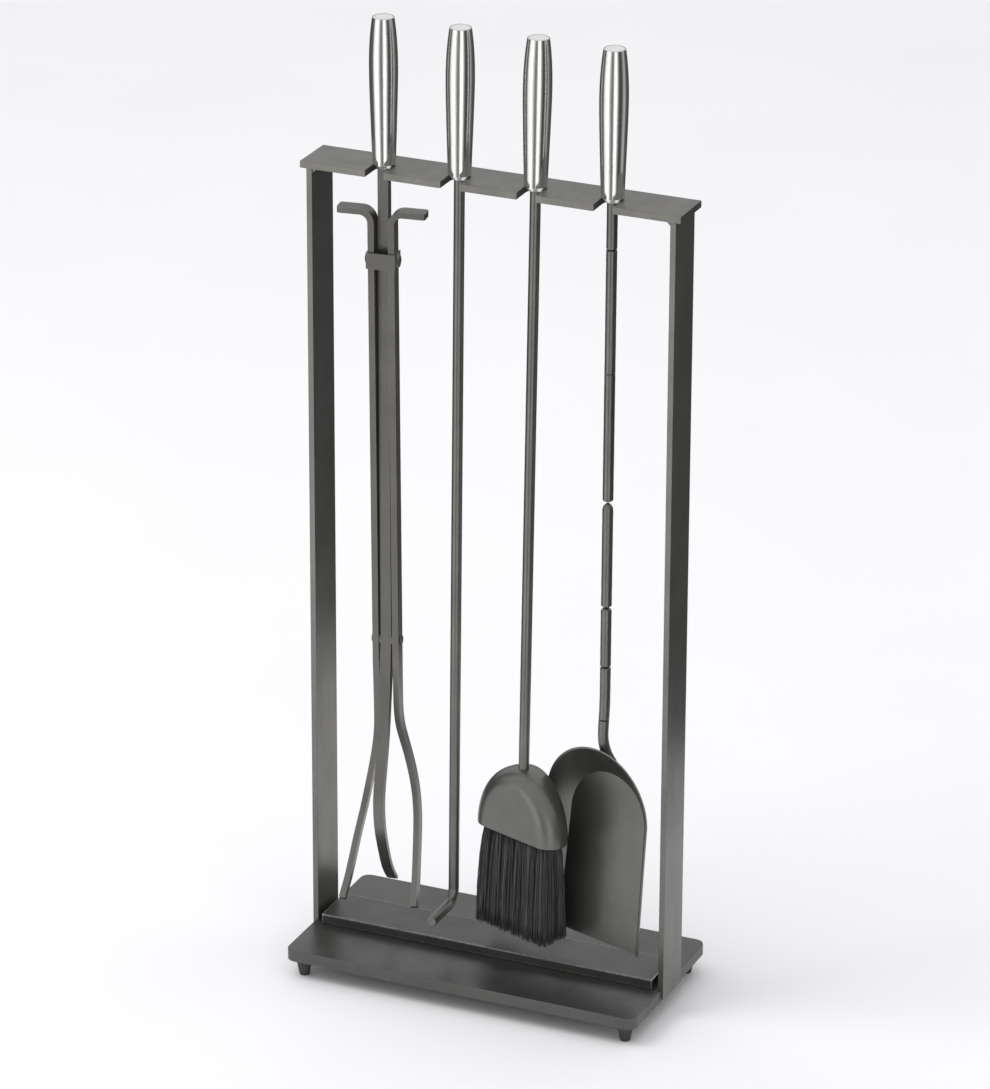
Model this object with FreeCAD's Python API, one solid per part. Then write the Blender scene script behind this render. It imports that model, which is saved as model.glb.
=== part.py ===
"""Fireplace tool set: a welded flat-bar stand with tongs, a poker, a brush and a shovel hanging in notches.

Millimetres. +Z is up, -Y is the front, where the notches open. The origin is on the floor under the middle of the base.
Each tool is built about its own rod, at x = y = 0 with its front to -Y, and is then hung in its notch.
"""
import FreeCAD
import Part
import math
import os
from FreeCAD import Vector

# Stand
BASE_WIDTH = 304.8
BASE_DEPTH = 153.0
BASE_THICKNESS = 10.0
BASE_CORNER = 8.0
FOOT_HEIGHT = 15.0
FOOT_TOP_RADIUS = 7.0
FOOT_BOTTOM_RADIUS = 4.0
FOOT_INSET = 12.0
FLAT_BAR = 4.8
UPRIGHT_WIDTH = 38.0
UPRIGHT_OUTSIDE = 154.0
UPRIGHT_LIFT = 1.5
CROSS_BAR_LENGTH = 290.0
CROSS_BAR_WIDTH = 42.4
CROSS_BAR_THICKNESS = 8.0
TOP_BAR_LENGTH = 316.8
TOP_BAR_WIDTH = 42.0
TOP_BAR_THICKNESS = 5.7
TOP_BAR_UNDERSIDE = 672.0
WELD = 4.0
EASE = 0.8

# Notches and what hangs in them
NOTCH_PITCH = 63.5
NOTCH_WIDTH = 16.0
NOTCH_AXIS_Y = -2.5
ROD_DIAMETER = 8.5
STUD_RADIUS = 3.0
STUD_LENGTH = 18.0
FIT = 0.03
SEAT_GAP = 0.3

# Grip: radius against distance below its top
GRIP_LENGTH = 117.6
GRIP_CURVE = ((20.0, 10.6), (40.0, 11.22), (60.0, 10.9), (90.0, 10.0), (GRIP_LENGTH, 9.15))
GRIP_TOP_RADIUS = 8.55
GRIP_BORE = 6.3
CAP_RADIUS = 7.6
CAP_THICKNESS = 2.0
FERRULE_TIP_RADIUS = 5.0

# Tongs
TONGS_BAR = 8.5
ARM_THICKNESS = 5.0
ARM_DEPTH = 12.0
ARM_CENTRE = 8.2
ARM_LEAN = 0.8
PIVOT_Z = 279.5
PIN_RADIUS = 2.5
PIN_HEAD_RADIUS = 3.5
TAB_Z = 641.5
TAB_REACH = 35.6
TAB_BEND = 9.0
STRAP_Z = 602.0
STRAP_HEIGHT = 13.0
STRAP_THICKNESS = 1.6
RIVET_HEAD_RADIUS = 5.7

# Poker
HOOK_REACH = 44.5
HOOK_Z = 59.5
HOOK_BEND = 12.0

# Brush
HEAD_HALF_WIDTH = 43.5
HEAD_HEIGHT = 55.7
HEAD_THICKNESS = 30.0
HEAD_BOTTOM = 135.4
HEAD_TOP_ROUND = 0.85
HEAD_TOP_ROUND_BACK = 0.3
HEAD_TURNS = (-90, -75, -60, -45, -30, -15, 0, 15, 30, 45, 60, 75, 90)
BLOCK_LENGTH = 74.0
BLOCK_DEPTH = 24.0
BLOCK_HEIGHT = 22.0
BRISTLE_BOTTOM = 48.5

# Shovel
PAN_SHEET = 1.6
PAN_LIP_Z = 52.0
PAN_ARC_Z = 167.5
PAN_RIM_RADIUS = 51.0
PAN_RIM_LIP = 43.0
PAN_RIM_Y = -7.5
PAN_OFFSET = -0.5
FLOOR_ARC_Z = 155.0
FLOOR_RADIUS = 38.0
FLOOR_LIP = 40.5
FLOOR_LIP_Y = -5.0
FLOOR_BACK_Y = 10.0
FLOOR_BACK_Z = 192.0
WELD_WIDTH = 2.2
WELD_HEIGHT = 2.0

BASE_TOP = FOOT_HEIGHT + BASE_THICKNESS
TOP_BAR_TOP = TOP_BAR_UNDERSIDE + TOP_BAR_THICKNESS
UPRIGHT_INSIDE = UPRIGHT_OUTSIDE - FLAT_BAR
UPRIGHT_BOTTOM = FOOT_HEIGHT + UPRIGHT_LIFT
ROD_RADIUS = ROD_DIAMETER / 2
GRIP_BOTTOM = TOP_BAR_TOP + GRIP_CURVE[-1][1] - NOTCH_WIDTH / 2 + SEAT_GAP * math.sqrt(2)
GRIP_TOP = GRIP_BOTTOM + GRIP_LENGTH
FERRULE_TIP_Z = GRIP_BOTTOM - (GRIP_CURVE[-1][1] - FERRULE_TIP_RADIUS)
UP = Vector(0, 0, 1)
ORIGIN = Vector(0, 0, 0)


def box(x0, x1, y0, y1, z0, z1):
    return Part.makeBox(x1 - x0, y1 - y0, z1 - z0, Vector(x0, y0, z0))


def cylinder(radius, start, axis, length):
    return Part.makeCylinder(radius, length, start, axis)


def mirrored(shape):
    """The same piece on the other side of the plane x = 0."""
    return shape.mirror(ORIGIN, Vector(1, 0, 0))


def turned(points):
    """Solid of revolution about Z from a closed outline of (radius, z) points."""
    corners = [Vector(r, 0, z) for r, z in points]
    face = Part.Face(Part.makePolygon(corners + corners[:1]))
    return face.revolve(ORIGIN, UP, 360)


def eased(shape, radius, wanted):
    """Round the edges for which wanted(edge's bounding box) is true."""
    edges = [edge for edge in shape.Edges if wanted(edge.BoundBox)]
    return shape.makeFillet(radius, edges)


def curve(points):
    spline = Part.BSplineCurve()
    spline.interpolate(points)
    return spline.toShape()


def line(start, end):
    return Part.makeLine(start, end)


def vertical(bound):
    return bound.ZLength > 1 and bound.XLength < 0.01 and bound.YLength < 0.01


def along_x(bound):
    return bound.XLength > 1 and bound.YLength < 0.01 and bound.ZLength < 0.01


def level(bound):
    return bound.ZLength < 0.01


# ---------------------------------------------------------------- stand

FOOT_CENTRES = {
    "foot_front_left": (-1, -1),
    "foot_front_right": (1, -1),
    "foot_back_left": (-1, 1),
    "foot_back_right": (1, 1),
}
FOOT_X = BASE_WIDTH / 2 - FOOT_INSET
FOOT_Y = BASE_DEPTH / 2 - FOOT_INSET
FOOT_STUD = dict(radius=2.5, below=8.0, above=6.0)
BAR_SCREW = dict(radius=2.5, head_radius=5.0, head=2.6, length=15.0)
BAR_SCREW_X = (-100.0, 0.0, 100.0)


def foot_stud(centre_x, centre_y, slack=0.0):
    start = Vector(centre_x, centre_y, FOOT_HEIGHT - FOOT_STUD["below"] - slack)
    length = FOOT_STUD["below"] + FOOT_STUD["above"] + 2 * slack
    return cylinder(FOOT_STUD["radius"] + min(slack, FIT), start, UP, length)


def bar_screw(centre_x, slack=0.0):
    """Countersunk screw from below, its head flush with the underside of the plate."""
    radius = BAR_SCREW["radius"] + min(slack, FIT)
    head_radius = BAR_SCREW["head_radius"] + min(slack, FIT)
    screw = turned((
        (0, FOOT_HEIGHT),
        (head_radius, FOOT_HEIGHT),
        (radius, FOOT_HEIGHT + BAR_SCREW["head"]),
        (radius, FOOT_HEIGHT + BAR_SCREW["length"] + slack),
        (0, FOOT_HEIGHT + BAR_SCREW["length"] + slack),
    ))
    return screw.translated(Vector(centre_x, 0, 0))


def base_plate():
    plate = box(-BASE_WIDTH / 2, BASE_WIDTH / 2, -BASE_DEPTH / 2, BASE_DEPTH / 2, FOOT_HEIGHT, BASE_TOP)
    plate = eased(plate, BASE_CORNER, vertical)
    plate = eased(plate, EASE, level)
    for side in (-1, 1):
        inside, outside = sorted((side * UPRIGHT_INSIDE, side * UPRIGHT_OUTSIDE))
        plate = plate.cut(box(inside, outside, -UPRIGHT_WIDTH / 2, UPRIGHT_WIDTH / 2, 0, 2 * BASE_TOP))
    for side_x, side_y in FOOT_CENTRES.values():
        plate = plate.cut(foot_stud(side_x * FOOT_X, side_y * FOOT_Y, 0.5))
    for screw_x in BAR_SCREW_X:
        plate = plate.cut(bar_screw(screw_x, 0.5))
    return plate


def cross_bar():
    bar = box(-CROSS_BAR_LENGTH / 2, CROSS_BAR_LENGTH / 2, -CROSS_BAR_WIDTH / 2, CROSS_BAR_WIDTH / 2,
              BASE_TOP, BASE_TOP + CROSS_BAR_THICKNESS)
    bar = eased(bar, EASE, along_x)
    for screw_x in BAR_SCREW_X:
        bar = bar.cut(bar_screw(screw_x, 0.5))
    return bar


def upright(side):
    inside, outside = sorted((side * UPRIGHT_INSIDE, side * UPRIGHT_OUTSIDE))
    bar = box(inside, outside, -UPRIGHT_WIDTH / 2, UPRIGHT_WIDTH / 2, UPRIGHT_BOTTOM, TOP_BAR_UNDERSIDE)
    return eased(bar, EASE / 2, vertical)


def top_bar():
    bar = box(-TOP_BAR_LENGTH / 2, TOP_BAR_LENGTH / 2, -TOP_BAR_WIDTH / 2, TOP_BAR_WIDTH / 2,
              TOP_BAR_UNDERSIDE, TOP_BAR_TOP)
    half = NOTCH_WIDTH / 2
    for step in (-1.5, -0.5, 0.5, 1.5):
        centre = Vector(step * NOTCH_PITCH, NOTCH_AXIS_Y, TOP_BAR_UNDERSIDE - 1)
        bar = bar.cut(cylinder(half, centre, UP, TOP_BAR_THICKNESS + 2))
        bar = bar.cut(box(centre.x - half, centre.x + half, -TOP_BAR_WIDTH, NOTCH_AXIS_Y,
                          TOP_BAR_UNDERSIDE - 1, TOP_BAR_TOP + 1))
    return eased(bar, EASE / 2, level)


def frame_welds():
    """Fillet beads under the top bar, and flat beads under the uprights in the notches of the plate."""
    top = [Vector(UPRIGHT_INSIDE, 0, TOP_BAR_UNDERSIDE - WELD), Vector(UPRIGHT_INSIDE, 0, TOP_BAR_UNDERSIDE),
           Vector(UPRIGHT_INSIDE - WELD, 0, TOP_BAR_UNDERSIDE)]
    low = [Vector(UPRIGHT_INSIDE, 0, FOOT_HEIGHT), Vector(UPRIGHT_INSIDE, 0, UPRIGHT_BOTTOM),
           Vector(BASE_WIDTH / 2, 0, UPRIGHT_BOTTOM)]
    beads = []
    for corners in (top, low):
        face = Part.Face(Part.makePolygon(corners + corners[:1]))
        face.translate(Vector(0, -UPRIGHT_WIDTH / 2 + 1, 0))
        bead = face.extrude(Vector(0, UPRIGHT_WIDTH - 2, 0))
        beads += [bead, mirrored(bead)]
    return Part.makeCompound(beads)


def foot(side_x, side_y):
    centre = Vector(side_x * FOOT_X, side_y * FOOT_Y, 0)
    cone = Part.makeCone(FOOT_BOTTOM_RADIUS, FOOT_TOP_RADIUS, FOOT_HEIGHT, centre, UP)
    return cone.cut(foot_stud(centre.x, centre.y, 0.5))


# ---------------------------------------------------------------- grips

def grip_shell():
    """Barrel-shaped shell with a straight bore and a counterbore for the cap."""
    rim = 0.35
    side = [Vector(GRIP_TOP_RADIUS, 0, GRIP_TOP - rim)]
    side += [Vector(radius, 0, GRIP_TOP - below) for below, radius in GRIP_CURVE]
    corners = [side[-1], Vector(GRIP_BORE, 0, GRIP_BOTTOM), Vector(GRIP_BORE, 0, GRIP_TOP - CAP_THICKNESS),
               Vector(CAP_RADIUS, 0, GRIP_TOP - CAP_THICKNESS), Vector(CAP_RADIUS, 0, GRIP_TOP),
               Vector(GRIP_TOP_RADIUS - rim, 0, GRIP_TOP), side[0]]
    edges = [curve(side)] + [line(start, end) for start, end in zip(corners, corners[1:])]
    return Part.Face(Part.Wire(edges)).revolve(ORIGIN, UP, 360)


def grip_cap():
    """Flat end disc with a short spigot in the bore, set a little below the rim."""
    top = GRIP_TOP - 0.3
    step = GRIP_TOP - CAP_THICKNESS
    return turned(((0, top), (CAP_RADIUS - FIT - 0.3, top), (CAP_RADIUS - FIT, top - 0.3), (CAP_RADIUS - FIT, step),
                   (GRIP_BORE - FIT, step), (GRIP_BORE - FIT, step - 6), (0, step - 6)))


def ferrule():
    """Coned end that sits in the notch, with a spigot in the bore and a hole for the rod's thread."""
    spigot_top = GRIP_BOTTOM + 20
    hole = STUD_RADIUS + FIT
    return turned(((hole, FERRULE_TIP_Z), (FERRULE_TIP_RADIUS, FERRULE_TIP_Z), (GRIP_CURVE[-1][1], GRIP_BOTTOM),
                   (GRIP_BORE - FIT, GRIP_BOTTOM), (GRIP_BORE - FIT, spigot_top), (hole, spigot_top)))


def stud():
    """Threaded end of a rod, in the ferrule."""
    return cylinder(STUD_RADIUS, Vector(0, 0, FERRULE_TIP_Z - 1), UP, STUD_LENGTH + 1)


# ---------------------------------------------------------------- tongs

# Front face of the centre leg: (z, y), from the straight bar to the curled tip.
CENTRE_LEG = ((287, -4.25), (255, -7.0), (225, -11.4), (197, -16.6), (169, -24.4), (150, -28.8), (136, -28.4),
              (118, -24.2), (103, -17.8), (84, -8.4), (70, 2.0), (62.5, 10.0))
CENTRE_LEG_THICKNESS = (8.5, 2.6)
# Centre line of an outer leg: (z, x, y), from the straight arm to the tip.
OUTER_LEG = ((240, 8.2, 0.6), (215, 8.4, 1.6), (203, 9.2, 3.4), (185, 12.0, 7.6), (165, 15.8, 10.3), (145, 19.5, 9.6),
             (125, 22.5, 4.4), (105, 25.1, -6.0), (85, 27.2, -16.4), (70, 28.9, -26.0), (60, 30.1, -33.4))
LEG_DEPTH = 8.0


def bar_along(points, widths, depth_axis):
    """Loft of rectangles square to a curve; widths are (across, along depth_axis) at each point."""
    path = Part.BSplineCurve()
    path.interpolate(points)
    sections = []
    for point, (across, depth) in zip(points, widths):
        tangent = Vector(*path.tangent(path.parameter(point))[0]).normalize()
        side = tangent.cross(depth_axis).normalize()
        front = side.cross(tangent).normalize()
        corners = [point + side * (sx * across / 2) + front * (sy * depth / 2)
                   for sx, sy in ((-1, -1), (1, -1), (1, 1), (-1, 1))]
        sections.append(Part.makePolygon(corners + corners[:1]))
    return Part.makeLoft(sections, True, False)


def centre_bar():
    """Square bar with a threaded top; its lower end curves forward and back to a thin curled tip."""
    half = TONGS_BAR / 2
    top_z, start_z = FERRULE_TIP_Z, CENTRE_LEG[0][0]
    straight = box(-half, half, -half, half, start_z, top_z)
    front = [Vector(0, y, z) for z, y in CENTRE_LEG]
    spline = Part.BSplineCurve()
    spline.interpolate(front)
    thick, thin = CENTRE_LEG_THICKNESS
    back = []
    for index, point in enumerate(front):
        tangent = Vector(*spline.tangent(spline.parameter(point))[0]).normalize()
        if index == 0:
            tangent = Vector(0, 0, -1)
        normal = Vector(1, 0, 0).cross(tangent) * -1
        share = index / (len(front) - 1)
        back.append(point - normal * (thick + (thin - thick) * share))
    outline = Part.Wire([spline.toShape(), line(front[-1], back[-1]), curve(back[::-1]), line(back[0], front[0])])
    leg = Part.Face(outline)
    leg.translate(Vector(-half, 0, 0))
    bar = straight.fuse(leg.extrude(Vector(TONGS_BAR, 0, 0))).fuse(stud()).removeSplitter()
    pin = cylinder(PIN_RADIUS + FIT, Vector(-TONGS_BAR, 0, PIVOT_Z), Vector(1, 0, 0), 2 * TONGS_BAR)
    return bar.cut(pin)


def right_arm():
    """Flat bar: a tab bent outward on top, a straight run past the pin and a leg that spreads and reaches forward."""
    inner, outer = ARM_CENTRE - ARM_THICKNESS / 2, ARM_CENTRE + ARM_THICKNESS / 2
    low = OUTER_LEG[0][0]
    bend_z = TAB_Z - TAB_BEND
    inner_bend, outer_bend = TAB_BEND - ARM_THICKNESS / 2, TAB_BEND + ARM_THICKNESS / 2
    centre_x = ARM_CENTRE + TAB_BEND
    diagonal = math.sqrt(0.5)

    def quarter(radius, start, end):
        middle = Vector(centre_x - radius * diagonal, 0, bend_z + radius * diagonal)
        return Part.Arc(start, middle, end).toShape()

    top, bottom = TAB_Z + ARM_THICKNESS / 2, TAB_Z - ARM_THICKNESS / 2
    corners = [Vector(inner, 0, low), Vector(inner, 0, bend_z), Vector(centre_x, 0, top), Vector(TAB_REACH, 0, top),
               Vector(TAB_REACH, 0, bottom), Vector(centre_x, 0, bottom), Vector(outer, 0, bend_z),
               Vector(outer, 0, low)]
    edges = [line(corners[0], corners[1]), quarter(outer_bend, corners[1], corners[2]), line(corners[2], corners[3]),
             line(corners[3], corners[4]), line(corners[4], corners[5]), quarter(inner_bend, corners[5], corners[6]),
             line(corners[6], corners[7]), line(corners[7], corners[0])]
    face = Part.Face(Part.Wire(edges))
    face.translate(Vector(0, -ARM_DEPTH / 2, 0))
    arm = face.extrude(Vector(0, ARM_DEPTH, 0))
    arm = eased(arm, 2.0, lambda bound: bound.XMin > TAB_REACH - 0.01 and bound.ZLength > 1)
    points = [Vector(x, y, z) for z, x, y in OUTER_LEG]
    points.insert(0, Vector(ARM_CENTRE, 0, 262))
    points.insert(0, Vector(ARM_CENTRE, 0, 272))
    shares = [min(max(index - 1, 0) / 4, 1) for index in range(len(points))]
    widths = [(ARM_THICKNESS, ARM_DEPTH + (LEG_DEPTH - ARM_DEPTH) * share) for share in shares]
    leg = bar_along(points, widths, Vector(0, 1, 0))
    arm = arm.cut(box(0, 2 * TAB_REACH, -ARM_DEPTH, ARM_DEPTH, 0, 266)).fuse(
        leg.cut(box(0, 2 * TAB_REACH, -ARM_DEPTH, ARM_DEPTH, 266, 300))).removeSplitter()
    pin = cylinder(PIN_RADIUS + 2 * FIT, Vector(0, 0, PIVOT_Z), Vector(1, 0, 0), 2 * ARM_CENTRE)
    rivet = cylinder(1.5 + FIT, Vector(0, 0, STRAP_Z), Vector(1, 0, 0), 2 * ARM_CENTRE)
    return arm.cut(pin).cut(rivet)


def leaned_arm(shape):
    """The arms hang with their tops a little forward of the centre bar."""
    placed = shape.copy()
    placed.rotate(Vector(0, 0, PIVOT_Z), Vector(1, 0, 0), ARM_LEAN)
    return placed


def strap():
    """U of thin strip round the front of the centre bar, lying on the outer faces of the arms."""
    inner = ARM_CENTRE + ARM_THICKNESS / 2
    outer = inner + STRAP_THICKNESS
    front = -ARM_DEPTH / 2
    low, high = STRAP_Z - STRAP_HEIGHT / 2, STRAP_Z + STRAP_HEIGHT / 2
    solid = box(-outer, outer, front - STRAP_THICKNESS, ARM_DEPTH / 2, low, high)
    solid = eased(solid, STRAP_THICKNESS, lambda bound: vertical(bound) and bound.YMax < 0)
    solid = solid.cut(box(-inner, inner, front, ARM_DEPTH, low, high))
    rivet = cylinder(1.5 + FIT, Vector(-2 * outer, 0, STRAP_Z), Vector(1, 0, 0), 4 * outer)
    return solid.cut(rivet)


def strap_rivets():
    """Domed rivets through the strap and each arm, flush inside."""
    outside = ARM_CENTRE + ARM_THICKNESS / 2 + STRAP_THICKNESS
    inside = ARM_CENTRE - ARM_THICKNESS / 2
    height = 2.2
    sphere_radius = (RIVET_HEAD_RADIUS ** 2 + height ** 2) / (2 * height)
    centre = Vector(outside + height - sphere_radius, 0, STRAP_Z)
    dome = Part.makeSphere(sphere_radius, centre)
    dome = dome.common(box(outside, outside + 2 * height, -20, 20, STRAP_Z - 20, STRAP_Z + 20))
    shank = cylinder(1.5, Vector(inside, 0, STRAP_Z), Vector(1, 0, 0), outside - inside + 0.5)
    rivet = dome.fuse(shank).removeSplitter()
    return Part.makeCompound([rivet, mirrored(rivet)])


def pivot_pin():
    """Pin through bar and arms with a low head outside each arm."""
    outside = ARM_CENTRE + ARM_THICKNESS / 2 + 0.15
    axis = Vector(1, 0, 0)
    pin = cylinder(PIN_RADIUS, Vector(-outside, 0, PIVOT_Z), axis, 2 * outside)
    for start in (-outside - 1.4, outside):
        pin = pin.fuse(cylinder(PIN_HEAD_RADIUS, Vector(start, 0, PIVOT_Z), axis, 1.4))
    return pin.removeSplitter()


def pivot_washers():
    thickness = ARM_CENTRE - ARM_THICKNESS / 2 - TONGS_BAR / 2 - 0.15
    start = Vector(TONGS_BAR / 2, 0, PIVOT_Z)
    ring = cylinder(5.0, start, Vector(1, 0, 0), thickness)
    ring = ring.cut(cylinder(PIN_RADIUS + FIT, start, Vector(1, 0, 0), thickness))
    return Part.makeCompound([ring, mirrored(ring)])


# ---------------------------------------------------------------- rods, brush and shovel

def swept_rod(path_edges, radius):
    wire = Part.Wire(path_edges)
    start = wire.Vertexes[0].Point
    profile = Part.Wire(Part.Circle(start, UP, radius).toShape())
    return wire.makePipeShell([profile], True, True)


def poker_rod():
    """Round rod bent forward to a short hook."""
    corner = HOOK_Z + HOOK_BEND
    middle = HOOK_BEND * (1 - math.sqrt(0.5))
    down = line(Vector(0, 0, FERRULE_TIP_Z), Vector(0, 0, corner))
    bend = Part.Arc(Vector(0, 0, corner), Vector(0, -middle, HOOK_Z + middle), Vector(0, -HOOK_BEND, HOOK_Z)).toShape()
    hook = line(Vector(0, -HOOK_BEND, HOOK_Z), Vector(0, -HOOK_REACH, HOOK_Z))
    rod = swept_rod([down, bend, hook], ROD_RADIUS).fuse(stud())
    rod = rod.removeSplitter()
    return eased(rod, 0.8, lambda bound: bound.YMax < -HOOK_REACH + 0.01)


HEAD_TOP = HEAD_BOTTOM + HEAD_HEIGHT


def brush_rod():
    """Straight rod whose lower thread passes through the head into the block."""
    shoulder = HEAD_TOP - 2.0
    rod = cylinder(ROD_RADIUS, Vector(0, 0, shoulder), UP, FERRULE_TIP_Z - shoulder)
    low = cylinder(STUD_RADIUS, Vector(0, 0, HEAD_BOTTOM + 14), UP, shoulder - HEAD_BOTTOM - 13)
    return rod.fuse(low).fuse(stud()).removeSplitter()


def rounded_block(length, depth, z0, z1):
    """Upright block with half-round ends."""
    half, radius = length / 2, depth / 2
    block = box(radius - half, half - radius, -radius, radius, z0, z1)
    for side in (-1, 1):
        block = block.fuse(cylinder(radius, Vector(side * (half - radius), 0, z0), UP, z1 - z0))
    return block.removeSplitter()


def rounded_wire(half_x, half_y, radius, z):
    """Level rectangle with rounded corners."""
    x, y = half_x - radius, half_y - radius
    edges = []
    for turn, (corner_x, corner_y) in enumerate(((x, y), (-x, y), (-x, -y), (x, -y))):
        spots = [Vector(corner_x + radius * math.cos(angle), corner_y + radius * math.sin(angle), z)
                 for angle in (turn * math.pi / 2, (turn + 0.5) * math.pi / 2, (turn + 1) * math.pi / 2)]
        if edges:
            edges.append(line(edges[-1].Vertexes[-1].Point, spots[0]))
        edges.append(Part.Arc(*spots).toShape())
    edges.append(line(edges[-1].Vertexes[-1].Point, edges[0].Vertexes[0].Point))
    return Part.Wire(edges)


def brush_head():
    """Half-oval head with a full-round edge, built from upright outlines front to back; hollow below for the block."""
    half_depth = HEAD_THICKNESS / 2
    sections = []
    for angle in HEAD_TURNS:
        y = half_depth * math.sin(math.radians(angle))
        inset = half_depth * (1 - math.cos(math.radians(angle)))
        centre = Vector(0, y, HEAD_BOTTOM)
        top_round = HEAD_TOP_ROUND if y < 0 else HEAD_TOP_ROUND_BACK
        half, height = HEAD_HALF_WIDTH - inset, HEAD_HEIGHT - top_round * inset
        oval = Part.Ellipse(centre + Vector(0, 0, height), centre + Vector(half, 0, 0), centre)
        arc = Part.ArcOfEllipse(oval, -math.pi / 2, math.pi / 2).toShape()
        ends = [vertex.Point for vertex in arc.Vertexes]
        sections.append(Part.Wire([arc, line(ends[1], ends[0])]))
    head = Part.makeLoft(sections, True, False)
    pocket = rounded_block(BLOCK_LENGTH + 2 * FIT, BLOCK_DEPTH + 2 * FIT, HEAD_BOTTOM - 1, HEAD_BOTTOM + BLOCK_HEIGHT)
    hole = cylinder(STUD_RADIUS + FIT, Vector(0, 0, HEAD_BOTTOM), UP, HEAD_TOP)
    socket = cylinder(ROD_RADIUS + FIT, Vector(0, 0, HEAD_TOP - 2.0), UP, 10)
    return head.cut(pocket).cut(hole).cut(socket)


def brush_block():
    block = rounded_block(BLOCK_LENGTH, BLOCK_DEPTH, HEAD_BOTTOM + 1, HEAD_BOTTOM + BLOCK_HEIGHT)
    return block.cut(cylinder(STUD_RADIUS + FIT, Vector(0, 0, HEAD_BOTTOM + 13.5), UP, BLOCK_HEIGHT))


def brush_bristles():
    """Envelope of the tufts, a little wider and deeper at the ends."""
    top = rounded_wire(34.5, 11.5, 8.0, HEAD_BOTTOM + 1)
    return Part.makeLoft([top, rounded_wire(38.5, 15.0, 8.0, BRISTLE_BOTTOM)], True, True)


def floor_y(z):
    """Depth of the pan's floor, which slopes back from the lip."""
    return FLOOR_LIP_Y + (FLOOR_BACK_Y - FLOOR_LIP_Y) * (z - PAN_LIP_Z) / (FLOOR_BACK_Z - PAN_LIP_Z)


def pan_outline(lip_half, half, arc_z, depth, drop):
    """Closed U outline at the depth that depth(z) gives: sides from the lip, a round back and a straight lip."""
    low = PAN_LIP_Z - drop
    slant = (half - lip_half) / (arc_z - PAN_LIP_Z)
    corner = [Vector(side * (lip_half - slant * drop), depth(low), low) for side in (-1, 1)]
    angles = [math.pi * step / 12 for step in range(13)]
    back = [Vector(-half * math.cos(angle), 0, arc_z + half * math.sin(angle)) for angle in angles]
    back = [Vector(spot.x, depth(spot.z), spot.z) for spot in back]
    return Part.Wire([line(corner[0], back[0]), curve(back), line(back[-1], corner[1]), line(corner[1], corner[0])])


def pan_solid(grow, front, drop):
    """Pan's inside (grow nought) or outside, filled, from the depth front to its floor."""
    # The walls keep their flare where the solid is carried past the rim.
    past = (front - PAN_RIM_Y) / (PAN_RIM_Y - FLOOR_LIP_Y)
    deep = (front - PAN_RIM_Y) / (PAN_RIM_Y - floor_y(FLOOR_ARC_Z))
    lip = PAN_RIM_LIP + (PAN_RIM_LIP - FLOOR_LIP) * past
    half = PAN_RIM_RADIUS + (PAN_RIM_RADIUS - FLOOR_RADIUS) * deep
    arc_z = PAN_ARC_Z + (PAN_ARC_Z - FLOOR_ARC_Z) * deep
    rim = pan_outline(lip + grow, half + grow, arc_z, lambda z: front, drop)
    floor = pan_outline(FLOOR_LIP + grow, FLOOR_RADIUS + grow, FLOOR_ARC_Z, lambda z: floor_y(z) + grow, drop)
    return Part.makeLoft([rim, floor], True, True).translated(Vector(PAN_OFFSET, 0, 0))


def shovel_pan():
    """Sheet scoop: a flat floor that slopes back from the lip and flared walls that rise to a level rim."""
    return pan_solid(PAN_SHEET, PAN_RIM_Y, 0.0).cut(pan_solid(0.0, PAN_RIM_Y - 0.01, 5.0))


# Path of the rod, (z, y): straight, a slight swing forward, then back to end behind the top of the pan's wall.
ROD_PATH = ((FERRULE_TIP_Z, 0.0), (560, 0.0), (450, 0.0), (350, 0.0), (295, 0.0), (265, 0.0), (250, -0.4),
            (236, -1.4), (225, -0.9), (214, 2.8), (203, 9.6))


def shovel_rod():
    """Round rod that swings back at its lower end and is cut to lie flat on the back of the pan's wall."""
    spline = Part.BSplineCurve()
    spline.interpolate([Vector(0, y, z) for z, y in ROD_PATH], InitialTangent=Vector(0, 0, -1))
    rod = swept_rod([spline.toShape()], ROD_RADIUS)
    return rod.cut(pan_solid(PAN_SHEET, PAN_RIM_Y, 0.0)).fuse(stud()).removeSplitter()


def shovel_weld(rod):
    """Bead round the rod's end where it lies on the back of the pan's wall."""
    (end_z, end_y), (past_z, past_y) = ROD_PATH[-1], ROD_PATH[-2]
    end = Vector(0, end_y, end_z)
    along = (Vector(0, past_y, past_z) - end).normalize()
    sleeve = cylinder(ROD_RADIUS + WELD_WIDTH, end - along * WELD_WIDTH, along, 9.0 + WELD_WIDTH)
    bead = pan_solid(PAN_SHEET + WELD_HEIGHT, PAN_RIM_Y, 0.0).common(sleeve)
    return bead.cut(pan_solid(PAN_SHEET, PAN_RIM_Y, 0.0)).cut(rod)


def hang(shape, step, turn=0.0, side=0.0, forward=0.0):
    """Hang a tool's piece in its notch: turned about the rod, then leaned about the notch by small angles.

    side leans the lower end to -X and forward leans it to -Y.
    """
    seat = Vector(0, 0, TOP_BAR_TOP)
    placed = shape.copy()
    placed.rotate(ORIGIN, UP, turn)
    placed.rotate(seat, Vector(1, 0, 0), -forward)
    placed.rotate(seat, Vector(0, 1, 0), side)
    placed.translate(Vector(step * NOTCH_PITCH, NOTCH_AXIS_Y, 0))
    return placed


HANGING = {
    "tongs": dict(step=-1.5, turn=8.0, side=-0.17, forward=0.0),
    "poker": dict(step=-0.5, turn=0.0, side=0.4, forward=0.0),
    "brush": dict(step=0.5, turn=-19.0, side=0.55, forward=0.58),
    "shovel": dict(step=1.5, turn=-18.0, side=0.18, forward=0.0),
}


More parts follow.
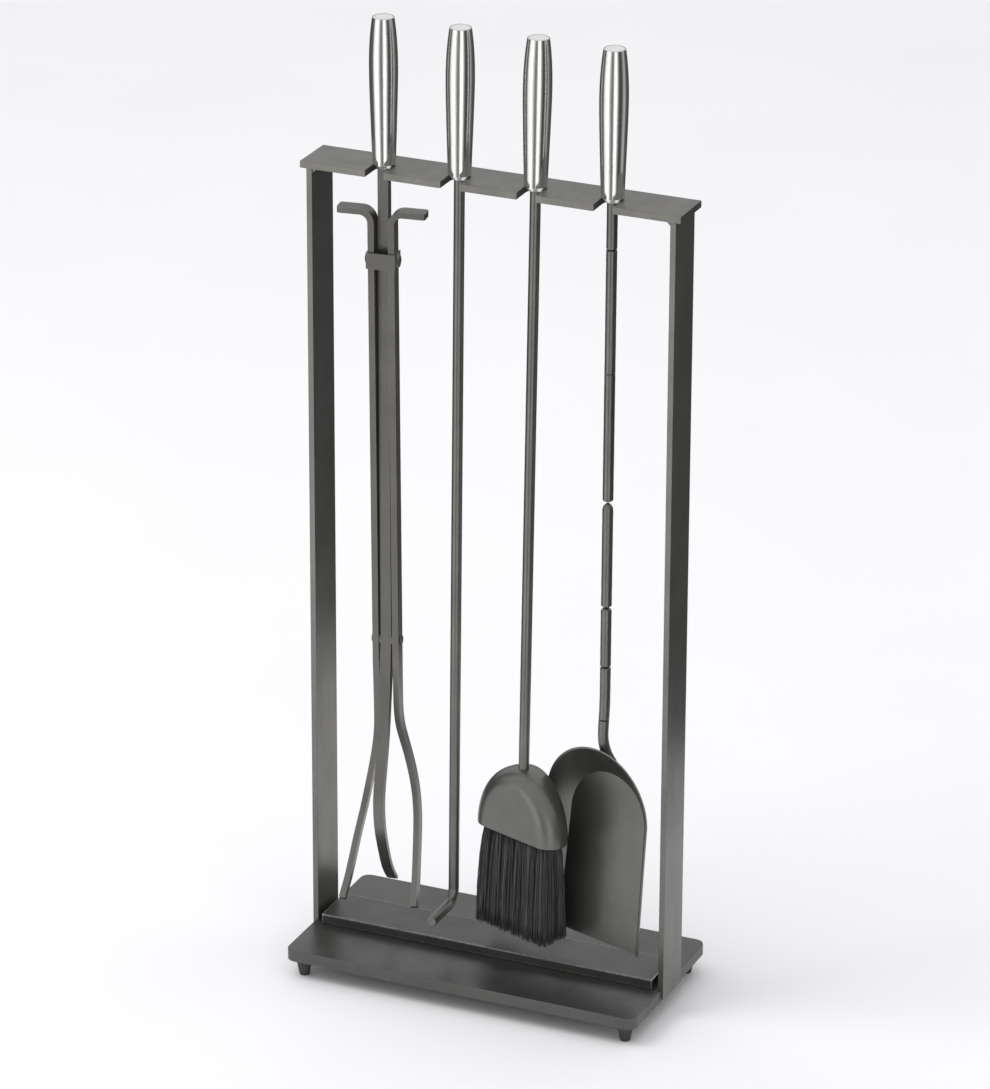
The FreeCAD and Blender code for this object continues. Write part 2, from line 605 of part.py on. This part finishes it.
def tool_pieces():
    arm = right_arm()
    rod = shovel_rod()
    pieces = {
        "tongs_centre_bar": centre_bar(),
        "tongs_right_arm": leaned_arm(arm),
        "tongs_left_arm": leaned_arm(mirrored(arm)),
        "tongs_strap": leaned_arm(strap()),
        "tongs_strap_rivets": leaned_arm(strap_rivets()),
        "tongs_pivot_pin": pivot_pin(),
        "tongs_pivot_washers": pivot_washers(),
        "poker_rod": poker_rod(),
        "brush_rod": brush_rod(),
        "brush_head": brush_head(),
        "brush_block": brush_block(),
        "brush_bristles": brush_bristles(),
        "shovel_rod": rod,
        "shovel_pan": shovel_pan(),
        "shovel_weld": shovel_weld(rod),
    }
    for tool in HANGING:
        pieces[tool + "_handle"] = grip_shell()
        pieces[tool + "_cap"] = grip_cap()
        pieces[tool + "_ferrule"] = ferrule()
    return pieces


def main():
    nodes = {
        "base_plate": base_plate(),
        "cross_bar": cross_bar(),
        "left_upright": upright(-1),
        "right_upright": upright(1),
        "top_bar": top_bar(),
        "frame_welds": frame_welds(),
        "foot_studs": Part.makeCompound([foot_stud(sx * FOOT_X, sy * FOOT_Y) for sx, sy in FOOT_CENTRES.values()]),
        "cross_bar_screws": Part.makeCompound([bar_screw(screw_x) for screw_x in BAR_SCREW_X]),
    }
    for name, (side_x, side_y) in FOOT_CENTRES.items():
        nodes[name] = foot(side_x, side_y)
    for name, shape in tool_pieces().items():
        nodes[name] = hang(shape, **HANGING[name.split("_")[0]])
    os.makedirs("parts", exist_ok=True)
    for name, shape in nodes.items():
        shape.exportStep("parts/" + name + ".step")
        print(name, len(shape.Solids), round(shape.Volume, 1), shape.isValid())


main()
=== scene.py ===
"""Looks of the fireplace tool set: coated stand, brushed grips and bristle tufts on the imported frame."""
import math
import random

import bmesh
import bpy
from mathutils import Matrix, Vector


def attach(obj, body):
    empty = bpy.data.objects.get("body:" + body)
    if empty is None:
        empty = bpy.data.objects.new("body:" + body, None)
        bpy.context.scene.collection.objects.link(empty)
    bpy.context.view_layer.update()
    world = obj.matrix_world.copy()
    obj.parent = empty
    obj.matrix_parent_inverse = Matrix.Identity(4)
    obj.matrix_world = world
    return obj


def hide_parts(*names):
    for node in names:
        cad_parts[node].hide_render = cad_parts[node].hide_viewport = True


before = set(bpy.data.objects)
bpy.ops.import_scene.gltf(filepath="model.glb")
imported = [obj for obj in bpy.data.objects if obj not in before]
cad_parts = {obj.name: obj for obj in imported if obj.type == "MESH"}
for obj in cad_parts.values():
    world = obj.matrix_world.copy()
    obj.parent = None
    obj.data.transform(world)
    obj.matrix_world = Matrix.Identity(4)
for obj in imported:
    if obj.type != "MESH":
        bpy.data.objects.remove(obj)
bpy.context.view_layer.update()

# Camera: metres, degrees, and millimetres for lens and sensor.
CAMERA_PLACE = (1.6701, -3.8165, 2.1260)
CAMERA_AZIMUTH = 23.659
CAMERA_DROP = 22.788
CAMERA_ROLL = 0.225
CAMERA_LENS = 190.44
SENSOR_WIDTH = 36.0
CAMERA_REACH = 100.0

# Studio surround: glow of the walls by heading (degrees from the front, positive to the right) and of the
# ceiling.
WINDOWS = ((-180, 0.06), (-100, 0.06), (-70, 0.10), (-52, 0.80), (-22, 1.00), (-10, 0.45), (2, 0.14),
           (15, 0.16), (26, 0.95), (42, 0.95), (53, 0.28), (64, 0.05), (86, 0.05), (100, 0.26), (112, 0.32),
           (128, 0.10), (146, 0.05), (179, 0.06))
CEILING_FROM, CEILING_TO = -0.05, 0.30
CEILING_GLOW = (0.50, 0.50, 0.51)
ROOM_STRENGTH = 1.7

# Floor: only the near part shows in the metal.
TABLE_RADIUS, FLOOR_RADIUS, FLOOR_SIDES = 0.55, 40.0, 96

# Soft lights, seen by the floor and the matt surfaces only: place, aim, size in metres, power in watts.
SOFTBOXES = (("key", (-1.6, -1.2, 3.0), (0, 0, 0.2), 1.6, 34.0),
             ("top", (0.0, 0.0, 6.0), (0, 0, 0.0), 6.0, 60.0))

# How the brush hangs: notch centre, height of the seat, and its three small turns in degrees.
BRUSH_NOTCH = (0.03175, -0.0025)
SEAT_HEIGHT = 0.6777
BRUSH_TURN, BRUSH_SIDE, BRUSH_FORWARD = -19.0, 0.55, 0.58

# Tufts in the brush's own frame, metres.
TUFT_COLUMNS, TUFT_ROWS = 6, 2
TUFT_TOP, TUFT_BOTTOM = 0.1375, 0.0488
TUFT_TOP_HALF = (0.0345, 0.0112)
TUFT_BOTTOM_HALF = (0.0378, 0.0143)
TUFT_RADIUS, TUFT_DEPTH_SHARE = 0.0047, 1.1

# Bristles: metres and shares of the tuft's pitch or length.
BRISTLES_PER_TUFT = 300
BRISTLE_RADIUS = 0.00029
BRISTLE_STEPS, BRISTLE_SIDES = 6, 4
TIP_SHARE = 0.55
SPREAD_SHARE = 0.60
FAN_POWER = 0.62
FOOT_SCATTER = 0.0006
LENGTH_SCATTER = 0.022
BEND_ACROSS, BEND_DEEP, WAVE_SHARE = 0.0009, 0.0008, 0.35
BRISTLE_SEED = 41


# ---------------------------------------------------------------- materials

class Nodes:
    """Short way to build a material's node tree."""

    def __init__(self, name, **shader):
        self.material = bpy.data.materials.new(name)
        self.material.use_nodes = True
        self.tree = self.material.node_tree
        self.tree.nodes.clear()
        self.shader = self.add("ShaderNodeBsdfPrincipled", **shader)
        out = self.add("ShaderNodeOutputMaterial")
        self.link(self.shader.outputs["BSDF"], out.inputs["Surface"])

    def add(self, kind, settings=None, **inputs):
        node = self.tree.nodes.new(kind)
        for key, value in (settings or {}).items():
            setattr(node, key, value)
        for key, value in inputs.items():
            numbered = key[0] == "i" and key[1:].isdigit()
            socket = node.inputs[int(key[1:]) if numbered else key.replace("_", " ")]
            if isinstance(value, bpy.types.NodeSocket):
                self.link(value, socket)
            else:
                socket.default_value = value
        return node

    def link(self, output, target):
        self.tree.links.new(output, target)

    def drive(self, socket, output):
        self.link(output, self.shader.inputs[socket])

    def place(self, scale=(1, 1, 1), source="Object"):
        """The piece's own coordinates, scaled."""
        coordinates = self.add("ShaderNodeTexCoord")
        return self.add("ShaderNodeMapping", Vector=coordinates.outputs[source], Scale=scale).outputs["Vector"]

    def noise(self, place, scale, detail=2.0, roughness=0.5):
        return self.add("ShaderNodeTexNoise", Vector=place, Scale=scale, Detail=detail,
                        Roughness=roughness).outputs["Fac"]

    def span(self, value, low, high, to_low, to_high):
        """Maps a value from one span to another, clamped."""
        return self.add("ShaderNodeMapRange", Value=value, From_Min=low, From_Max=high, To_Min=to_low,
                        To_Max=to_high).outputs["Result"]

    def math(self, operation, first, second):
        return self.add("ShaderNodeMath", {"operation": operation}, i0=first, i1=second).outputs["Value"]

    def ramp(self, value, *stops):
        node = self.add("ShaderNodeValToRGB", Fac=value)
        marks = node.color_ramp.elements
        while len(marks) < len(stops):
            marks.new(0.5)
        for mark, (position, colour) in zip(marks, stops):
            mark.position = position
            mark.color = (*colour, 1.0)
        return node.outputs["Color"]

    def blend(self, factor, first, second, mode="MIX"):
        node = self.add("ShaderNodeMix", {"data_type": "RGBA", "blend_type": mode})
        for index, value in ((0, factor), (6, first), (7, second)):
            if isinstance(value, bpy.types.NodeSocket):
                self.link(value, node.inputs[index])
            else:
                node.inputs[index].default_value = value if index == 0 else (*value, 1.0)
        return node.outputs[2]

    def edges(self, radius):
        """One on sharp edges, nought on flats."""
        soft = self.add("ShaderNodeBevel", {"samples": 4}, Radius=radius).outputs["Normal"]
        hard = self.add("ShaderNodeNewGeometry").outputs["Normal"]
        match = self.add("ShaderNodeVectorMath", {"operation": "DOT_PRODUCT"}, i0=soft, i1=hard).outputs["Value"]
        return self.span(match, 0.995, 0.86, 0.0, 1.0)

    def bump(self, height, distance, strength=1.0, under=None):
        node = self.add("ShaderNodeBump", Height=height, Distance=distance, Strength=strength)
        if under is not None:
            self.link(under, node.inputs["Normal"])
        return node.outputs["Normal"]


def powder_coat(name="graphite_coat", tone=(0.172, 0.168, 0.155), edge=0.0007, highlight_strength=0.6,
                highlight_colour=(0.40, 0.39, 0.36)):
    """Satin graphite powder coat: fine orange peel, faint clouding, and a painted highlight that lightens the
    edges in patches.
    """
    made = Nodes(name, Metallic=0.85, Specular_IOR_Level=0.5)
    place = made.place()
    clouds = made.noise(place, 26.0, 3.0)
    flakes = made.noise(place, 2300.0, 1.0)
    dark = tuple(0.93 * part for part in tone)
    light = tuple(1.07 * part for part in tone)
    colour = made.ramp(clouds, (0.36, dark), (0.64, light))
    speckle = made.ramp(flakes, (0.35, (0.86, 0.86, 0.86)), (0.65, (1.13, 1.13, 1.12)))
    colour = made.blend(1.0, colour, speckle, "MULTIPLY")
    # Painted highlight: edges are lightened in patches towards a paler colour, standing in for light caught by
    # the eased edges.
    patches = made.span(made.noise(place, 190.0), 0.35, 0.7, 0.3 * highlight_strength, highlight_strength)
    edge_highlight = made.math("MULTIPLY", made.edges(edge), patches)
    made.drive("Base Color", made.blend(edge_highlight, colour, highlight_colour))
    smears = made.noise(made.place((1.0, 1.0, 0.25)), 60.0, 4.0)
    made.drive("Roughness", made.span(smears, 0.3, 0.7, 0.30, 0.39))
    peel = made.bump(made.noise(place, 900.0, 2.0), 0.00004, 0.6)
    made.drive("Normal", made.bump(flakes, 0.00002, 0.5, peel))
    return made.material


def brushed_steel():
    """Stainless brushed along its length: long fine scratches that vary in depth."""
    made = Nodes("brushed_stainless", Metallic=1.0, Anisotropic=0.15)
    scratches = made.noise(made.place((1.0, 1.0, 0.012)), 2600.0, 3.0, 0.7)
    bands = made.noise(made.place((1.0, 1.0, 0.05)), 260.0, 2.0)
    colour = made.ramp(scratches, (0.3, (0.60, 0.595, 0.58)), (0.7, (0.76, 0.755, 0.74)))
    smudges = made.noise(made.place(), 45.0, 4.0, 0.6)
    made.drive("Base Color", made.blend(made.span(smudges, 0.45, 0.7, 0.0, 0.3), colour, (0.56, 0.55, 0.53)))
    rough = made.math("ADD", made.span(bands, 0.3, 0.7, 0.09, 0.14), made.span(smudges, 0.4, 0.7, 0.0, 0.05))
    made.drive("Roughness", rough)
    made.drive("Normal", made.bump(scratches, 0.00003, 0.35))
    return made.material


def turned_steel():
    """Grip ends and collars: fine rings left by turning."""
    made = Nodes("turned_stainless", Metallic=1.0, Anisotropic=0.2)
    centred = made.add("ShaderNodeMapping", Vector=made.place(source="Generated"), Location=(-0.5, -0.5, 0.0))
    flat = made.add("ShaderNodeVectorMath", {"operation": "MULTIPLY"}, i0=centred.outputs["Vector"],
                    i1=(1.0, 1.0, 0.0)).outputs["Vector"]
    reach = made.add("ShaderNodeVectorMath", {"operation": "LENGTH"}, i0=flat).outputs["Value"]
    rings = made.add("ShaderNodeTexNoise", {"noise_dimensions": "1D"}, W=reach, Scale=90.0, Detail=3.0,
                     Roughness=0.7).outputs["Fac"]
    made.drive("Base Color", made.ramp(rings, (0.3, (0.88, 0.875, 0.86)), (0.7, (0.97, 0.965, 0.955))))
    made.drive("Roughness", made.span(rings, 0.3, 0.7, 0.24, 0.34))
    made.drive("Normal", made.bump(rings, 0.00002, 0.4))
    return made.material


def zinc():
    """Zinc plate: pale blue-grey with a faint crystal mottle."""
    made = Nodes("zinc_steel", Metallic=1.0)
    place = made.place()
    cells = made.add("ShaderNodeTexVoronoi", Vector=place, Scale=900.0).outputs["Color"]
    tone = made.add("ShaderNodeSeparateColor", Color=cells).outputs["Red"]
    made.drive("Base Color", made.ramp(tone, (0.0, (0.46, 0.47, 0.49)), (1.0, (0.58, 0.59, 0.60))))
    made.drive("Roughness", made.span(made.noise(place, 220.0), 0.3, 0.7, 0.28, 0.42))
    made.drive("Normal", made.bump(made.noise(place, 1500.0), 0.00003, 0.5))
    return made.material


def moulded_block():
    """Black moulded block that holds the tufts."""
    made = Nodes("block")
    place = made.place()
    made.drive("Base Color", made.ramp(made.noise(place, 120.0), (0.3, (0.012, 0.012, 0.013)),
                                       (0.7, (0.026, 0.026, 0.027))))
    made.drive("Roughness", made.span(made.noise(place, 500.0), 0.3, 0.7, 0.5, 0.68))
    made.drive("Normal", made.bump(made.noise(place, 1400.0), 0.00005, 0.6))
    return made.material


def rubber():
    """Dark moulded feet."""
    made = Nodes("foot_rubber")
    tone = 0.035
    place = made.place()
    made.drive("Base Color", made.ramp(made.noise(place, 150.0), (0.3, (tone * 0.8,) * 3),
                                       (0.7, (tone * 1.3,) * 3)))
    made.drive("Roughness", made.span(made.noise(place, 600.0), 0.3, 0.7, 0.55, 0.72))
    made.drive("Normal", made.bump(made.noise(place, 1800.0), 0.00004, 0.5))
    return made.material


def bristle():
    """Dark synthetic fibre: each one a shade of its own, dustier towards the tips."""
    made = Nodes("bristle", Specular_IOR_Level=0.45)
    shade = made.add("ShaderNodeAttribute", {"attribute_name": "fibre_shade"}).outputs["Fac"]
    along = made.add("ShaderNodeAttribute", {"attribute_name": "fibre_along"}).outputs["Fac"]
    colour = made.ramp(shade, (0.0, (0.024, 0.024, 0.025)), (0.6, (0.058, 0.059, 0.059)),
                       (1.0, (0.110, 0.112, 0.110)))
    dusty = made.span(along, 0.55, 1.0, 0.0, 0.3)
    colour = made.blend(dusty, colour, (0.105, 0.103, 0.099))
    made.drive("Base Color", colour)
    grain = made.noise(made.place((1.0, 1.0, 0.08)), 2500.0)
    made.drive("Roughness", made.span(grain, 0.3, 0.7, 0.38, 0.55))
    made.drive("Normal", made.bump(grain, 0.00003, 0.4))
    return made.material


COAT, BRUSHED, TURNED = powder_coat(), brushed_steel(), turned_steel()
# Painted shade: the base plate's coat is darker than the rest of the stand, standing in for the shade the tools
# and uprights throw on it.
SHADED_BASE_COAT = powder_coat("graphite_coat_base_painted_shade", (0.112, 0.113, 0.108))
# Painted shade and painted highlight: the cross bar's coat is darker still as shade, and its edges are painted
# much paler as a highlight.
CROSS_COAT_SHADE_AND_HIGHLIGHT = powder_coat("graphite_coat_cross_bar_shade_and_highlight", (0.098, 0.099, 0.095), 0.0024, 1.0, (0.62, 0.61, 0.58))
TOOL_COAT = powder_coat("graphite_coat_tool", (0.168, 0.166, 0.156))
ZINC, BLOCK, RUBBER, BRISTLE = zinc(), moulded_block(), rubber(), bristle()


def finish_of(name):
    if name.endswith("_handle"):
        return BRUSHED
    if name.endswith(("_cap", "_ferrule")):
        return TURNED
    if name in ("foot_studs", "cross_bar_screws"):
        return ZINC
    if name.startswith("foot_"):
        return RUBBER
    if name in ("brush_block", "brush_bristles"):
        return BLOCK
    if name == "base_plate":
        return SHADED_BASE_COAT
    if name == "cross_bar":
        return CROSS_COAT_SHADE_AND_HIGHLIGHT
    if name in ("brush_head", "shovel_pan", "shovel_weld"):
        return TOOL_COAT
    return COAT


for node_name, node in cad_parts.items():
    node.data.materials.clear()
    node.data.materials.append(finish_of(node_name))


# ---------------------------------------------------------------- bristle tufts

def brush_frame():
    """From the brush's own upright frame to where it hangs."""
    seat = Matrix.Translation((0, 0, SEAT_HEIGHT))
    lean = (Matrix.Rotation(math.radians(BRUSH_SIDE), 4, "Y")
            @ Matrix.Rotation(math.radians(-BRUSH_FORWARD), 4, "X"))
    notch = Matrix.Translation((*BRUSH_NOTCH, 0))
    return notch @ seat @ lean @ seat.inverted() @ Matrix.Rotation(math.radians(BRUSH_TURN), 4, "Z")


def tuft(column, row, rng, hang):
    """One tuft: fibres packed in its hole at the top that spread, bend and end unevenly below."""
    pitch = 2 * TUFT_TOP_HALF[0] / TUFT_COLUMNS
    centre_x = (column + 0.5) * pitch - TUFT_TOP_HALF[0]
    centre_y = (row - 0.5) * TUFT_TOP_HALF[1]
    spread_x = TUFT_BOTTOM_HALF[0] / TUFT_TOP_HALF[0]
    spread_y = TUFT_BOTTOM_HALF[1] / TUFT_TOP_HALF[1]
    mesh = bmesh.new()
    shade_layer = mesh.verts.layers.float.new("fibre_shade")
    along_layer = mesh.verts.layers.float.new("fibre_along")
    for _ in range(BRISTLES_PER_TUFT):
        turn, reach = rng.uniform(0, 2 * math.pi), math.sqrt(rng.random())
        across, deep = reach * math.cos(turn), reach * math.sin(turn)
        top = Vector((centre_x + across * TUFT_RADIUS,
                      centre_y + deep * TUFT_RADIUS * TUFT_DEPTH_SHARE, TUFT_TOP))
        foot_x = (centre_x * spread_x + across * pitch * SPREAD_SHARE * spread_x
                  + rng.gauss(0, FOOT_SCATTER))
        foot_y = (centre_y * spread_y + deep * TUFT_TOP_HALF[1] * SPREAD_SHARE * spread_y
                  + rng.gauss(0, FOOT_SCATTER))
        foot_x = max(-TUFT_BOTTOM_HALF[0], min(TUFT_BOTTOM_HALF[0], foot_x))
        foot_y = max(-TUFT_BOTTOM_HALF[1], min(TUFT_BOTTOM_HALF[1], foot_y))
        length = (TUFT_TOP - TUFT_BOTTOM) * (1.0 - abs(rng.gauss(0, LENGTH_SCATTER)))
        bend = Vector((rng.gauss(0, BEND_ACROSS), rng.gauss(0, BEND_DEEP), 0))
        wave = rng.uniform(0, 2 * math.pi)
        radius = BRISTLE_RADIUS * rng.uniform(0.8, 1.2)
        shade = rng.random()
        roll = rng.uniform(0, math.pi)
        ring_before = None
        for step in range(BRISTLE_STEPS + 1):
            along = step / BRISTLE_STEPS
            fan = along ** FAN_POWER
            spot = Vector((top.x + (foot_x - top.x) * fan, top.y + (foot_y - top.y) * fan,
                           TUFT_TOP - length * along))
            spot += (bend * math.sin(math.pi * along)
                     + bend * WAVE_SHARE * math.sin(3 * math.pi * along + wave) * along)
            width = radius * (1.0 if step < BRISTLE_STEPS else TIP_SHARE)
            ring = []
            for side in range(BRISTLE_SIDES):
                angle = roll + 2 * math.pi * side / BRISTLE_SIDES
                vertex = mesh.verts.new(hang @ (spot + Vector((math.cos(angle), math.sin(angle), 0)) * width))
                vertex[shade_layer] = shade
                vertex[along_layer] = along
                ring.append(vertex)
            if ring_before:
                for side in range(BRISTLE_SIDES):
                    after = (side + 1) % BRISTLE_SIDES
                    mesh.faces.new((ring_before[side], ring_before[after], ring[after], ring[side]))
            else:
                mesh.faces.new(ring)
            ring_before = ring
        mesh.faces.new(list(reversed(ring_before)))
    bmesh.ops.recalc_face_normals(mesh, faces=mesh.faces)
    data = bpy.data.meshes.new(f"tuft_{row}_{column}")
    mesh.to_mesh(data)
    mesh.free()
    for face in data.polygons:
        face.use_smooth = True
    data.materials.append(BRISTLE)
    piece = bpy.data.objects.new(data.name, data)
    bpy.context.scene.collection.objects.link(piece)
    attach(piece, "brush")
    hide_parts("brush_bristles")


rng = random.Random(BRISTLE_SEED)
brush_hang = brush_frame()
for tuft_row in range(TUFT_ROWS):
    for tuft_column in range(TUFT_COLUMNS):
        tuft(tuft_column, tuft_row, rng, brush_hang)


# ---------------------------------------------------------------- stage, light and camera

def floor():
    """Wide pale floor; only the part near the stand shows in the metal, as on a studio table."""
    made = Nodes("pale_floor", Roughness=0.75, Specular_IOR_Level=0.2)
    made.drive("Base Color", made.ramp(made.noise(made.place(), 3.0), (0.3, (0.86, 0.86, 0.87)),
                                       (0.7, (0.88, 0.88, 0.885))))
    turns = [math.tau * step / FLOOR_SIDES for step in range(FLOOR_SIDES)]
    table = [(TABLE_RADIUS * math.cos(turn), TABLE_RADIUS * math.sin(turn), 0) for turn in turns]
    far = [(x * FLOOR_RADIUS / TABLE_RADIUS, y * FLOOR_RADIUS / TABLE_RADIUS, 0) for x, y, _ in table]
    ring = [(step, (step + 1) % FLOOR_SIDES, FLOOR_SIDES + (step + 1) % FLOOR_SIDES, FLOOR_SIDES + step)
            for step in range(FLOOR_SIDES)]
    for name, points, faces in (("floor_near", table, [range(FLOOR_SIDES)]),
                                ("floor_far", table + far, [face[::-1] for face in ring])):
        data = bpy.data.meshes.new(name)
        data.from_pydata(points, [], [tuple(face) for face in faces])
        data.materials.append(made.material)
        part = bpy.data.objects.new(name, data)
        bpy.context.scene.collection.objects.link(part)
        part.visible_glossy = name == "floor_near"


def softbox(name, place, aim, size, power):
    """Square soft light on the floor and the matt surfaces; the surround gives the reflections."""
    light = bpy.data.lights.new(name, "AREA")
    light.shape = "SQUARE"
    light.size = size
    light.energy = power
    lamp = bpy.data.objects.new(name, light)
    bpy.context.scene.collection.objects.link(lamp)
    lamp.visible_glossy = False
    lamp.location = place
    lamp.rotation_euler = (Vector(aim) - Vector(place)).to_track_quat("-Z", "Y").to_euler()


def studio_world():
    """Studio surround: tall soft windows round the front, dim gaps between them, an even ceiling."""
    world = bpy.data.worlds.new("studio")
    world.use_nodes = True
    tree = world.node_tree
    tree.nodes.clear()

    def add(kind, **settings):
        node = tree.nodes.new(kind)
        for key, value in settings.items():
            setattr(node, key, value)
        return node

    def join(output, target):
        tree.links.new(output, target)

    direction = add("ShaderNodeTexCoord").outputs["Generated"]
    parts = add("ShaderNodeSeparateXYZ")
    join(direction, parts.inputs[0])
    forward = add("ShaderNodeMath", operation="MULTIPLY")
    forward.inputs[1].default_value = -1.0
    join(parts.outputs["Y"], forward.inputs[0])
    heading = add("ShaderNodeMath", operation="ARCTAN2")
    join(parts.outputs["X"], heading.inputs[0])
    join(forward.outputs[0], heading.inputs[1])
    share = add("ShaderNodeMath", operation="MULTIPLY_ADD")
    share.inputs[1].default_value = 0.5 / math.pi
    share.inputs[2].default_value = 0.5
    join(heading.outputs[0], share.inputs[0])
    windows = add("ShaderNodeValToRGB")
    windows.color_ramp.interpolation = "EASE"
    marks = windows.color_ramp.elements
    while len(marks) < len(WINDOWS):
        marks.new(0.5)
    for mark, (degrees, glow) in zip(marks, WINDOWS):
        mark.position = degrees / 360.0 + 0.5
        mark.color = (glow, glow, glow, 1.0)
    join(share.outputs[0], windows.inputs["Fac"])
    height = add("ShaderNodeMapRange", interpolation_type="SMOOTHSTEP")
    height.inputs["From Min"].default_value = CEILING_FROM
    height.inputs["From Max"].default_value = CEILING_TO
    join(parts.outputs["Z"], height.inputs["Value"])
    room = add("ShaderNodeMix", data_type="RGBA")
    join(height.outputs["Result"], room.inputs[0])
    join(windows.outputs["Color"], room.inputs[6])
    room.inputs[7].default_value = (*CEILING_GLOW, 1.0)
    background = add("ShaderNodeBackground")
    background.inputs["Strength"].default_value = ROOM_STRENGTH
    join(room.outputs[2], background.inputs["Color"])
    join(background.outputs[0], add("ShaderNodeOutputWorld").inputs["Surface"])
    bpy.context.scene.world = world


def camera():
    data = bpy.data.cameras.new("camera")
    data.sensor_fit = "AUTO"
    data.sensor_width = SENSOR_WIDTH
    data.lens = CAMERA_LENS
    data.clip_end = CAMERA_REACH
    eye = bpy.data.objects.new("camera", data)
    bpy.context.scene.collection.objects.link(eye)
    turn = Matrix.Rotation(math.radians(CAMERA_AZIMUTH), 4, "Z")
    drop = Matrix.Rotation(math.radians(90.0 - CAMERA_DROP), 4, "X")
    roll = Matrix.Rotation(math.radians(CAMERA_ROLL), 4, "Z")
    eye.matrix_world = Matrix.Translation(CAMERA_PLACE) @ turn @ drop @ roll
    bpy.context.scene.camera = eye


floor()
studio_world()
for box in SOFTBOXES:
    softbox(*box)
camera()
bpy.context.scene.view_settings.view_transform = "Standard"
